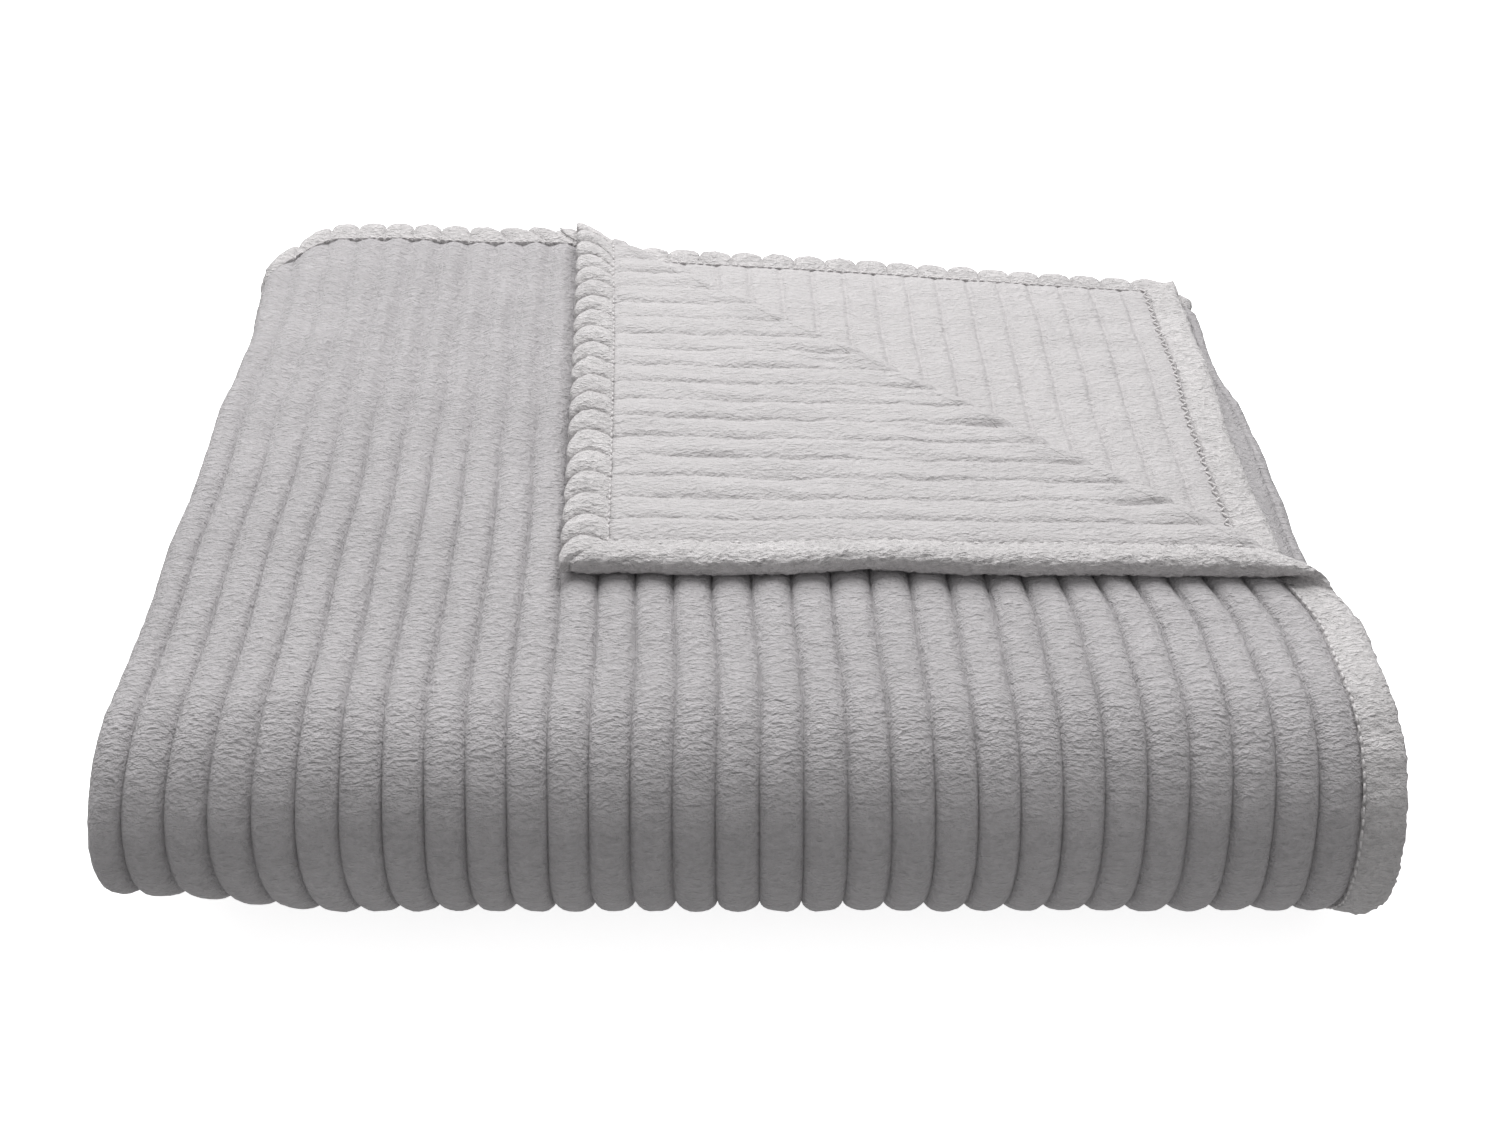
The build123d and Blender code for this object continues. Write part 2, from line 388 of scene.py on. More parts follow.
def edge_share(t, shift):
    """Keeps a shifted panel's pinch beside its own edge."""
    if not shift:
        return 1.0
    return SEAM_SHARE + (1 - SEAM_SHARE) * ease((EDGES[7] - t - SEAM) / SEAM_SLOPE)


def face_relief(t, s, sizes, share=1.0):
    """Height of the ribbed face above the middle of the cloth."""
    deep = share * sizes.rib_height * (1 + 0.12 * drift(t * 11.0, s * 6.0, 41))
    sharp = rib(t, sizes.rib_pitch)
    gentle = 0.5 - 0.5 * np.cos(2 * math.pi * t / sizes.rib_pitch)
    loose = 0.75 * ease((0.75 * ENDS[1] - s) / 0.12)
    shape = 0.25 * loose + (1 - 0.25 * loose) * (sharp + (gentle - sharp) * loose)
    lumps = 0.00022 * drift(t * 150.0, s * 95.0, 42) + 0.0003 * drift(t * 45.0, s * 28.0, 43)
    lumps = lumps + 0.0005 * loose * drift(t * 28.0, s * 19.0, 48)
    full = CLOTH / 2 - deep * (1 - shape) + lumps * sharp
    return np.maximum(full, VALLEY_FLOOR) * seam_pinch(t, s)


def reverse_relief(t, s, sizes, depth):
    """Height of the reverse above the middle of the cloth, as a negative number."""
    cut = depth * groove(t, sizes.rib_pitch, 0.0011)
    waves = 0.0003 * drift(t * 60.0, s * 22.0, 44) + 0.00035 * drift(t * 20.0, s * 40.0, 45)
    limit = np.where(np.asarray(depth) < 0.0005, REVERSE_LIMIT, GROOVED_LIMIT)
    return np.minimum(-CLOTH / 2 + cut + waves, limit) * seam_pinch(t, s)


def corner_reverse(t, s, sizes):
    """The turned corner's reverse: clear ribs in front, puffed where they turn."""
    clear = 0.15 + 0.85 * ease((0.2 - t) / 0.12)
    shape = reverse_relief(t, s, sizes, sizes.reverse_height * 0.3 * clear + 0.0005)
    crest = 1 - groove(t, sizes.rib_pitch, 0.0026)
    past = (EDGE_A - t + BACK - s - FOLD_SUM) / math.sqrt(2)
    near = np.exp(-(((past - 0.006) / 0.011) ** 2))
    band = np.exp(-(((t - SEAM - 0.0048) / 0.0009) ** 2))
    wander = 0.6 + 0.4 * drift(t * 0.0, s * 25.0, 46)
    creases = 0.00035 * drift(t * 95.0, s * 20.0, 47) * ease((t - 0.02) / 0.02)
    return shape - 0.0012 * (0.45 + 0.55 * clear) * crest * near + 0.0009 * band * wander + creases


def build_mesh(name, points, quads, uv, materials, material_index, smooth=None):
    """A smooth mesh object from arrays, with its cloth coordinates as a UV map."""
    if smooth is None:
        smooth = np.ones(len(quads), dtype=bool)
    mesh = bpy.data.meshes.new(name)
    mesh.vertices.add(len(points))
    mesh.vertices.foreach_set("co", points.astype(np.float32).ravel())
    mesh.loops.add(quads.size)
    mesh.loops.foreach_set("vertex_index", quads.astype(np.int32).ravel())
    mesh.polygons.add(len(quads))
    mesh.polygons.foreach_set("loop_start", np.arange(0, quads.size, 4, dtype=np.int32))
    mesh.polygons.foreach_set("material_index", material_index.astype(np.int32))
    mesh.polygons.foreach_set("use_smooth", smooth)
    mesh.update(calc_edges=True)
    layer = mesh.uv_layers.new(name="cloth")
    layer.data.foreach_set("uv", uv[quads.ravel()].astype(np.float32).ravel())
    mesh.validate()
    work = bmesh.new()
    work.from_mesh(mesh)
    bmesh.ops.remove_doubles(work, verts=work.verts, dist=1e-6)
    bmesh.ops.recalc_face_normals(work, faces=work.faces)
    work.to_mesh(mesh)
    work.free()
    for material in materials:
        mesh.materials.append(material)
    piece = bpy.data.objects.new(name, mesh)
    bpy.context.scene.collection.objects.link(piece)
    return piece


def grid_quads(rows, columns, first, flip):
    """Quads of a grid of points that are numbered row by row."""
    number = first + np.arange(rows * columns).reshape(rows, columns)
    corners = [number[:-1, :-1], number[:-1, 1:], number[1:, 1:], number[1:, :-1]]
    if flip:
        corners.reverse()
    return np.stack(corners, axis=-1).reshape(-1, 4)


def sheet_piece(name, t, s, face, reverse):
    """A closed sheet of cloth between its ribbed face and its reverse."""
    rows, columns = face.shape[:2]
    count = rows * columns
    points = np.concatenate([face.reshape(-1, 3), reverse.reshape(-1, 3)])
    t, s = np.broadcast_arrays(t, s)
    uv = np.stack([t.ravel(), s.ravel()], axis=-1)
    uv = np.concatenate([uv, uv])
    quads = [grid_quads(rows, columns, 0, False), grid_quads(rows, columns, count, True)]
    number = np.arange(count).reshape(rows, columns)
    rim = [number[0, :], number[:, -1], number[-1, ::-1], number[::-1, 0]]
    for edge in rim:
        sides = [edge[:-1], edge[:-1] + count, edge[1:] + count, edge[1:]]
        quads.append(np.stack(sides, axis=-1))
    index = np.concatenate([np.full(len(q), i == 1) for i, q in enumerate(quads)])
    smooth = np.concatenate([np.full(len(q), i < 2) for i, q in enumerate(quads)])
    materials = [bpy.data.materials["throw_face"], bpy.data.materials["throw_reverse"]]
    quads = np.concatenate(quads)
    return build_mesh(name, points, quads, uv, materials, index, smooth)


def tube_piece(name, rings, uv, material):
    """A closed tube through rings of points, rings[along, around, 3]."""
    along, around = rings.shape[:2]
    closed = np.concatenate([rings, rings[:, :1]], axis=1)
    uv = np.concatenate([uv, uv[:, :1]], axis=1)
    caps = [closed[0].mean(axis=0), closed[-1].mean(axis=0)]
    body = grid_quads(along, around + 1, 0, False)
    count = along * (around + 1)
    fans = []
    for end, row in ((0, 0), (1, (along - 1) * (around + 1))):
        edge = row + np.arange(around + 1)
        tip = np.full(around, count + end)
        fans.append(np.stack([edge[:-1], edge[1:], tip, tip], axis=-1))
    points = np.concatenate([closed.reshape(-1, 3), np.array(caps)])
    flat_uv = np.concatenate([uv.reshape(-1, 2), uv[0, :1], uv[-1, :1]])
    return tube_mesh(name, points, body, fans, flat_uv, material)


def tube_mesh(name, points, body, fans, uv, material):
    """Joins a tube's walls and its two end fans into one mesh object."""
    work = bmesh.new()
    verts = [work.verts.new(p) for p in points]
    layer = work.loops.layers.uv.new("cloth")
    faces = [tuple(q) for q in body]
    faces += [tuple(q[:3]) for fan in fans for q in fan]
    for corners in faces:
        face = work.faces.new([verts[i] for i in corners])
        face.smooth = len(corners) == 4
        for loop, i in zip(face.loops, corners):
            loop[layer].uv = uv[i]
    bmesh.ops.remove_doubles(work, verts=work.verts, dist=1e-6)
    bmesh.ops.recalc_face_normals(work, faces=work.faces)
    mesh = bpy.data.meshes.new(name)
    work.to_mesh(mesh)
    work.free()
    mesh.materials.append(bpy.data.materials[material])
    piece = bpy.data.objects.new(name, mesh)
    bpy.context.scene.collection.objects.link(piece)
    return piece


def straddle(piece):
    """Bakes a piece's transform into its mesh; the piece lies between the pile and the top leaf,
    round the front roll.
    """
    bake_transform(piece)


def straddle_corner(piece):
    """Bakes a piece's transform into its mesh; the piece lies between the top leaf and the corner,
    round the corner's fold.
    """
    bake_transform(piece)


def group_with_sockets(name, inputs):
    """A node group with a plush pile's colour, roughness and height."""
    group = bpy.data.node_groups.new(name, "ShaderNodeTree")
    put = group.interface.new_socket
    for label, kind, value in inputs:
        socket = put(label, in_out="INPUT", socket_type=kind)
        socket.default_value = value
    for label, kind in (
        ("Color", "NodeSocketColor"),
        ("Roughness", "NodeSocketFloat"),
        ("Height", "NodeSocketFloat"),
    ):
        put(label, in_out="OUTPUT", socket_type=kind)
    return group


def plush_group():
    """Brushed pile: fine tufts and clumps, with painted shade between the tufts and painted sheen
    on patches where the nap lies over.
    """
    group = group_with_sockets(
        "BrushedPile",
        [
            ("Base", "NodeSocketColor", (0.5, 0.5, 0.5, 1)),
            # Shade: strength of the painted shade between the tufts and of the painted sheen on
            # the nap patches
            ("Shade", "NodeSocketFloat", 0.12),
            ("Tuft Size", "NodeSocketFloat", 900.0),
            ("Clump Size", "NodeSocketFloat", 240.0),
            ("Patch Size", "NodeSocketFloat", 34.0),
            ("Rough", "NodeSocketFloat", 0.9),
        ],
    )
    nodes, links = group.nodes, group.links
    enter = nodes.new("NodeGroupInput")
    leave = nodes.new("NodeGroupOutput")
    coordinates = nodes.new("ShaderNodeTexCoord")
    stretch = nodes.new("ShaderNodeMapping")
    stretch.inputs["Scale"].default_value = (0.55, 1.0, 1.0)
    links.new(coordinates.outputs["Object"], stretch.inputs["Vector"])
    noises = {}
    for label, detail in (("Tuft Size", 3.0), ("Clump Size", 2.0), ("Patch Size", 3.0)):
        noise = nodes.new("ShaderNodeTexNoise")
        noise.inputs["Detail"].default_value = detail
        noise.inputs["Roughness"].default_value = 0.6
        links.new(stretch.outputs["Vector"], noise.inputs["Vector"])
        links.new(enter.outputs[label], noise.inputs["Scale"])
        noises[label] = noise.outputs["Fac"]

    def maths(operation, a, b):
        node = nodes.new("ShaderNodeMath")
        node.operation = operation
        for socket, value in zip(node.inputs, (a, b)):
            if isinstance(value, (int, float)):
                socket.default_value = value
            else:
                links.new(value, socket)
        return node.outputs[0]

    fine = maths("MULTIPLY", noises["Tuft Size"], 0.5)
    clump = maths("MULTIPLY", noises["Clump Size"], 0.5)
    height = maths("ADD", fine, clump)
    # Painted sheen: large patches where the nap lies over, painted lighter or darker in the colour
    painted_nap_sheen = maths("MULTIPLY", maths("SUBTRACT", noises["Patch Size"], 0.5), 1.1)
    # Painted shade: the colour is darker in the hollows between tufts and clumps and lighter on
    # their tops, in step with the height
    painted_tuft_shade = maths("MULTIPLY", maths("SUBTRACT", height, 0.5), 3.2)
    # The painted shade and the painted sheen, scaled by Shade, multiply the base colour
    painted_shade_and_sheen = maths("ADD", painted_tuft_shade, painted_nap_sheen)
    painted_shade_and_sheen = maths("MULTIPLY", painted_shade_and_sheen, enter.outputs["Shade"])
    painted_shade_and_sheen = maths("ADD", painted_shade_and_sheen, 1.0)
    tint = nodes.new("ShaderNodeVectorMath")
    tint.operation = "SCALE"
    links.new(enter.outputs["Base"], tint.inputs[0])
    links.new(painted_shade_and_sheen, tint.inputs["Scale"])
    rough = maths("MULTIPLY", noises["Clump Size"], 0.12)
    rough = maths("ADD", rough, enter.outputs["Rough"])
    rough = maths("SUBTRACT", rough, 0.06)
    links.new(tint.outputs["Vector"], leave.inputs["Color"])
    links.new(rough, leave.inputs["Roughness"])
    links.new(height, leave.inputs["Height"])
    return group


def plush_material(name, colour, shade, bump, sheen, tuft, clump):
    """Plush cloth with its own colour, its own depth of pile and its own amount of painted shade
    and sheen.
    """
    material = bpy.data.materials.new(name)
    material.use_nodes = True
    nodes, links = material.node_tree.nodes, material.node_tree.links
    shader = nodes["Principled BSDF"]
    pile = nodes.new("ShaderNodeGroup")
    pile.node_tree = bpy.data.node_groups["BrushedPile"]
    pile.inputs["Base"].default_value = (*colour, 1)
    # shade: how strongly the painted shade between the tufts and the painted sheen of the nap
    # patches mark the colour
    pile.inputs["Shade"].default_value = shade
    pile.inputs["Tuft Size"].default_value = tuft
    pile.inputs["Clump Size"].default_value = clump
    relief = nodes.new("ShaderNodeBump")
    relief.inputs["Strength"].default_value = bump
    relief.inputs["Distance"].default_value = 0.0032
    links.new(pile.outputs["Color"], shader.inputs["Base Color"])
    links.new(pile.outputs["Roughness"], shader.inputs["Roughness"])
    links.new(pile.outputs["Height"], relief.inputs["Height"])
    links.new(relief.outputs["Normal"], shader.inputs["Normal"])
    shader.inputs["Sheen Weight"].default_value = sheen
    shader.inputs["Sheen Roughness"].default_value = 0.45
    shader.inputs["Specular IOR Level"].default_value = 0.15
    return material


class ThrowSizes(bpy.types.PropertyGroup):
    """Sizes of the throw's ribs and edges."""

    rib_pitch: FloatProperty(
        name="Rib Pitch",
        description="Distance from one rib's crest to the next",
        default=0.0124,
        unit="LENGTH",
    )
    rib_height: FloatProperty(
        name="Rib Height",
        description="Depth of the valleys between the ribs on the face",
        default=0.0034,
        unit="LENGTH",
    )
    reverse_height: FloatProperty(
        name="Reverse Groove",
        description="Depth of the grooves on the reverse",
        default=0.0011,
        unit="LENGTH",
    )
    hem_thickness: FloatProperty(
        name="Hem Thickness",
        description="Thickness of the turned edges",
        default=0.0066,
        unit="LENGTH",
    )


class ThrowColours(bpy.types.PropertyGroup):
    """Colours of the throw and of the floor under it."""

    face: FloatVectorProperty(
        name="Face",
        description="Ribbed face of the plush",
        subtype="COLOR",
        default=(0.475, 0.458, 0.468),
    )
    reverse: FloatVectorProperty(
        name="Reverse",
        description="Smoother reverse of the plush",
        subtype="COLOR",
        default=(0.54, 0.522, 0.526),
    )
    hem: FloatVectorProperty(
        name="Hem",
        description="Turned edges",
        subtype="COLOR",
        default=(0.62, 0.6, 0.602),
    )
    thread: FloatVectorProperty(
        name="Thread",
        description="Thread of the hems",
        subtype="COLOR",
        default=(0.66, 0.64, 0.64),
    )
    floor: FloatVectorProperty(
        name="Floor",
        description="Floor that the throw lies on",
        subtype="COLOR",
        default=(0.93, 0.93, 0.93),
    )


class THROW_OT_cloths(bpy.types.Operator):
    """Mix the plush materials"""

    bl_idname = "throw.cloths"
    bl_label = "Plush Materials"

    def execute(self, context):
        colours = context.scene.throw_colours
        plush_group()
        # The third number is each cloth's amount of painted shade between the tufts and painted
        # sheen on the nap patches
        plush_material("throw_face", colours.face, 0.24, 1.0, 0.2, 1000, 420)
        plush_material("throw_reverse", colours.reverse, 0.13, 0.8, 0.2, 1000, 380)
        plush_material("throw_hem", colours.hem, 0.34, 1.0, 0.2, 1100, 520)
        plush_material("throw_thread", colours.thread, 0.1, 0.4, 0.1, 1500, 900)
        return {"FINISHED"}


def cut_rows(x, count):
    """Places along each column of the top layer, from its end to the roll."""
    y_end = np.minimum(BACK - SEAM, CUT_SUM - x)
    share = np.linspace(0, 1, count)[:, None]
    return BACK - (y_end[None, :] + share * (ROLL_Y - y_end[None, :]))


class THROW_OT_face_cloth(bpy.types.Operator):
    """Lay panel a over the top, round the front roll and under the pile"""

    bl_idname = "throw.face_cloth"
    bl_label = "Face Cloth"

    def execute(self, context):
        sizes = context.scene.throw_sizes
        t = stations(SEAM, EDGES[2], sizes.rib_pitch, RIB_STEPS)
        x = across_pile(t.copy())[0]
        top_rows = cut_rows(x, 78)
        roll = evenly(ENDS[1], ENDS[2], 0.003)[1:]
        under = evenly(ENDS[2], ENDS[3], 0.014)[1:]
        below = np.concatenate([roll, under])[:, None] + np.zeros_like(t)[None, :]
        s = np.concatenate([top_rows, below])
        t = np.broadcast_to(t[None, :], s.shape)
        face = place(t, s, face_relief(t, s, sizes))
        reverse = place(t, s, reverse_relief(t, s, sizes, 0.0003))
        piece = sheet_piece("face_cloth", t, s, face, reverse)
        straddle(piece)
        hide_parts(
            "top_leaf_panel_a",
            "top_leaf_left_folds",
            "front_roll_panel_a",
            "front_roll_left_folds",
            "bottom_leaf_panel_a",
            "bottom_leaf_left_folds",
        )
        return {"FINISHED"}


class THROW_OT_corner(bpy.types.Operator):
    """Turn back the corner of panel a, reverse side up"""

    bl_idname = "throw.corner"
    bl_label = "Turned Corner"

    def execute(self, context):
        sizes = context.scene.throw_sizes
        bend = self.strip("corner_bend", CUT_SUM, PAST_SUM, 26, 1.0, sizes)
        straddle_corner(bend)
        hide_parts("corner_fold")
        flap = self.strip("corner_cloth", PAST_SUM, None, 80, 1.35, sizes)
        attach(flap, "corner_flap")
        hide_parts("corner_flap")
        return {"FINISHED"}

    def strip(self, name, first_sum, last_sum, count, bias, sizes):
        """The part of the corner between two lines along its fold."""
        end = BACK - SEAM
        t = stations(SEAM, EDGE_A + end - first_sum, sizes.rib_pitch, RIB_STEPS)
        x = EDGE_A - t
        near = first_sum - x
        far = np.full_like(x, end)
        if last_sum is not None:
            far = np.minimum(end, last_sum - x)
        share = np.linspace(0, 1, count)[:, None] ** bias
        s = BACK - (near[None, :] + share * (far - near)[None, :])
        t = np.broadcast_to(t[None, :], s.shape)
        face = place_corner(t, s, face_relief(t, s, sizes, 0.3))
        reverse = place_corner(t, s, corner_reverse(t, s, sizes))
        piece = sheet_piece(name, t, s, face, reverse)
        return piece


def panel_sheet(name, t, s, sizes, replaced, bent, reverse_up=False):
    """One inner panel of the pile as a sheet, with the nodes it stands for."""
    t, s = t[None, :], s[:, None]
    t, s = np.broadcast_arrays(t, s)
    shift = SHIFT if reverse_up else 0.0
    relief = face_relief(t + shift, s, sizes, 0.45 if reverse_up else 0.8)
    face = place(t, s, relief * edge_share(t, shift))
    depth = sizes.reverse_height if reverse_up else 0.0004
    relief = reverse_relief(t + shift, s, sizes, depth)
    reverse = place(t, s, relief * edge_share(t, shift))
    piece = sheet_piece(name, t, s, face, reverse)
    if bent:
        straddle(piece)
    else:
        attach(piece, "pile")
    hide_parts(*replaced)
    return piece


class THROW_OT_inner_panels(bpy.types.Operator):
    """Fold the other panels between the top face and the floor"""

    bl_idname = "throw.inner_panels"
    bl_label = "Inner Panels"

    def execute(self, context):
        sizes = context.scene.throw_sizes
        pitch = sizes.rib_pitch
        upper = np.concatenate(
            [
                evenly(SEAM, ENDS[1], 0.005),
                evenly(ENDS[1], ENDS[2], 0.004)[1:],
                evenly(ENDS[2], ENDS[3], 0.02)[1:],
            ]
        )
        lower = np.concatenate(
            [
                evenly(ENDS[3], ENDS[4], 0.003),
                evenly(ENDS[4], ENDS[5], 0.012)[1:],
                evenly(ENDS[5], ENDS[6], 0.003)[1:],
                evenly(ENDS[6], ENDS[7] - SEAM, 0.006)[1:],
            ]
        )
        spans = {
            "a": (SEAM, EDGES[2], RIB_STEPS),
            "d": (EDGES[2], EDGES[4], RIB_STEPS),
            "c": (EDGES[4], EDGES[6], SPARE_STEPS),
            "b": (EDGES[6], EDGES[7] - SEAM, RIB_STEPS),
        }
        for panel, (first, last, steps) in spans.items():
            t = stations(first, last, pitch, steps)
            if panel == "b":
                t = stations(first + SHIFT, last + SHIFT, pitch, steps) - SHIFT
            if panel != "a":
                stands_for = [
                    f"top_leaf_panel_{panel}",
                    f"front_roll_panel_{panel}",
                    f"bottom_leaf_panel_{panel}",
                ]
                if panel == "d":
                    stands_for += [
                        "top_leaf_right_fold",
                        "front_roll_right_fold",
                        "bottom_leaf_right_fold",
                    ]
                name = f"outer_panel_{panel}"
                panel_sheet(name, t, upper, sizes, stands_for, True, panel == "b")
            stands_for = [
                f"back_roll_panel_{panel}",
                f"third_leaf_panel_{panel}",
                f"inner_roll_panel_{panel}",
                f"second_leaf_panel_{panel}",
            ]
            if panel in "ad":
                side = "left_folds" if panel == "a" else "right_fold"
                for part in ("back_roll", "third_leaf", "inner_roll", "second_leaf"):
                    stands_for.append(f"{part}_{side}")
            if panel == "a":
                t = stations(first, last, pitch, RIB_STEPS[::2])
            panel_sheet(f"inner_panel_{panel}", t, lower, sizes, stands_for, False)
        return {"FINISHED"}


def hem_ring(count):
    """Angles round a hem's section, starting at its stitches."""
    return np.linspace(0, 2 * math.pi, count, endpoint=False)


def hem_section(angle, swell, thick):
    """Place in from the edge and height off the middle, round a hem's section."""
    half = SEAM / 2 + 0.0004
    across = np.sign(np.cos(angle)) * np.abs(np.cos(angle)) ** 0.8
    inward = half + half * across * (0.93 + 0.07 * swell)
    taper = 1 - 0.28 * ease((inward - 0.35 * SEAM) / (0.6 * SEAM))
    height = 0.5 * thick * taper * np.sign(np.sin(angle)) * np.abs(np.sin(angle)) ** 0.62
    return inward, height


def slim(station, thick):
    """Thins a hem to just under the cloth's thickness where it rounds the corner's fold."""
    middle = HEM_CUT - 0.0102
    return 1 - (1 - 0.93 * CLOTH / thick) * np.exp(-(((station - middle) / 0.0165) ** 6))


def slant(station):
    """Share by which a hem's sections lie along the corner's fold, near to it."""
    entering = ease((station - HEM_CUT + 0.07) / 0.04)
    return entering * ease((HEM_CUT + 0.05 - station) / 0.04)


def tufts(a, b, seed):
    """Fine uneven fluff on a hem."""
    coarse = drift(a * 160.0, b * 90.0, seed)
    return 0.00025 * coarse + 0.00038 * drift(a * 420.0, b * 330.0, seed + 1, 10)


def side_hem(name, s, on_a, where, thick, around=22):
    """A hem along the ribs, on panel a's edge or panel b's."""
    angle = hem_ring(around) + 1e-4
    swell = 0.5 + 0.5 * drift(s * 30.0, s * 0.0, 51)
    inward, height = hem_section(angle[None, :], swell[:, None], thick)
    height = height * (1 + 0.1 * drift(s * 55.0, s * 0.0, 52))[:, None]
    fluff = tufts(s[:, None], angle[None, :] * 0.01, 53)
    height = height + fluff * np.sin(angle)[None, :]
    tip = np.clip(s / 0.008, 0.02, 1)[:, None]
    height = height * np.sqrt(1 - (1 - tip) ** 2)
    if on_a:
        height = height * slim(s, thick)[:, None]
    inward = np.maximum(inward + fluff * np.cos(angle)[None, :], 0.0)
    t = inward if on_a else EDGES[7] - inward
    s = s[:, None] - inward * slant(s)[:, None] * on_a
    rings = where(t, s, height)
    uv = np.stack([t, s], axis=-1)
    return tube_piece(name, rings, uv, "throw_hem")


def end_hem(name, t, pitch, first_end, where, thick, around=22, bow=0.0, swell=0.0):
    """A hem across the ribs, which puffs up into one lobe for each rib."""
    angle = hem_ring(around) + 1e-4
    across = np.abs(2 * np.mod(t / pitch, 1.0) - 1)
    lobe = np.sqrt(np.maximum(1 - across**2.2, 0))[:, None]
    uneven = (1 + 0.12 * drift(t * 60.0, t * 0.0, 56))[:, None]
    inward, height = hem_section(angle[None, :], lobe, thick)
    height = height * (0.3 + 0.7 * lobe * uneven)
    outer_side = 0.5 - 0.5 * np.cos(angle)[None, :]
    inward = inward + (0.0026 * (1 - lobe) - swell) * outer_side
    fluff = tufts(t[:, None], angle[None, :] * 0.01, 57)
    height = height + fluff * np.sin(angle)[None, :]
    if first_end:
        height = height * slim(t, thick)[:, None]
    s = inward if first_end else ENDS[7] - inward
    middle = 1 - (2 * inward / SEAM - 1) ** 2
    t = t[:, None] + bow * middle - inward * slant(t)[:, None] * first_end
    rings = where(t, s, height)
    uv = np.stack([t, s], axis=-1)
    return tube_piece(name, rings, uv, "throw_hem")


def hem_slot(piece, *replaced):
    """Hides the nodes that a hem piece stands for, if any."""
    if replaced:
        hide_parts(*replaced)


class THROW_OT_hems(bpy.types.Operator):
    """Turn the four edges of the throw to its reverse"""

    bl_idname = "throw.hems"
    bl_label = "Hems"

    def execute(self, context):
        sizes = context.scene.throw_sizes
        self.thick = sizes.hem_thickness
        self.pitch = sizes.rib_pitch
        self.front_side_hems()
        self.corner_side_hems()
        self.corner_back_hems()
        self.back_hems()
        return {"FINISHED"}

    def front_side_hems(self):
        """The side hems of panels a and b, round the front roll and inside the pile."""
        thick = self.thick
        rest = evenly(ENDS[3], ENDS[7], 0.0035)
        before_roll = evenly(HEM_CUT, ENDS[2], 0.0016)
        run = np.concatenate([before_roll, evenly(ENDS[2], ENDS[3], 0.004)[1:]])
        piece = side_hem("side_hem_front", run, True, place, thick)
        straddle(piece)
        hem_slot(piece, "panel_a_side_hem", "front_roll_side_hems")
        piece = side_hem("side_hem_inside", rest, True, place, thick * HIDDEN_SHARE)
        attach(piece, "pile")
        hem_slot(piece)
        run = evenly(0.0005, ENDS[3], 0.003)
        piece = side_hem("under_side_hem_front", run, False, place, thick * UNDER_SHARE)
        straddle(piece)
        hem_slot(piece, "panel_b_side_hem")
        piece = side_hem("under_side_hem_inside", rest, False, place, thick * HIDDEN_SHARE)
        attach(piece, "pile")
        hem_slot(piece)

    def corner_side_hems(self):
        """The turned corner's hem along the ribs: its straight part, then its bend."""
        look = (True, place_corner, self.thick * CORNER_SIDE_SHARE, CORNER_RING)
        run = evenly(0.0005, BEND_CUT, 0.0008)
        piece = side_hem("corner_side_hem", run, *look)
        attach(piece, "corner_flap")
        hem_slot(piece, "flap_side_hem")
        run = evenly(BEND_CUT, HEM_CUT, 0.0008)
        piece = side_hem("corner_side_bend", run, *look)
        straddle_corner(piece)
        hem_slot(piece)

    def corner_back_hems(self):
        """The turned corner's hem across the ribs: its straight part, then its bend."""
        plump = self.thick * CORNER_BACK_SHARE
        look = (True, place_corner, plump, CORNER_RING, CORNER_BOW, CORNER_SWELL)
        run = stations(0.002, BEND_CUT, self.pitch, RIB_STEPS)
        piece = end_hem("corner_back_hem", run, self.pitch, *look)
        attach(piece, "corner_flap")
        hem_slot(piece, "flap_back_hem")
        run = stations(BEND_CUT, HEM_CUT, self.pitch, RIB_STEPS)
        piece = end_hem("corner_back_bend", run, self.pitch, *look)
        straddle_corner(piece)
        hem_slot(piece)

    def back_hems(self):
        """The other hems across the ribs, each from one place to another."""
        spare = RIB_STEPS[::2]
        rows = [
            ("back_hem", HEM_CUT, EDGES[2], RIB_STEPS, 1.0, ["panel_a_back_hem"]),
            ("middle_back_hem", EDGES[2], EDGES[6], spare, HIDDEN_SHARE, []),
            ("under_back_hem", EDGES[6], EDGES[7], RIB_STEPS, UNDER_SHARE, ["panel_b_back_hem"]),
        ]
        for name, first, last, steps, share, replaced in rows:
            run = stations(first, last, self.pitch, steps)
            piece = end_hem(name, run, self.pitch, True, place, self.thick * share)
            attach(piece, "top_leaf")
            hem_slot(piece, *replaced)
        run = stations(0, EDGES[7], self.pitch, spare)
        thick = self.thick * HIDDEN_SHARE
        piece = end_hem("second_back_hem", run, self.pitch, False, place, thick)
        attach(piece, "pile")
        hem_slot(piece)


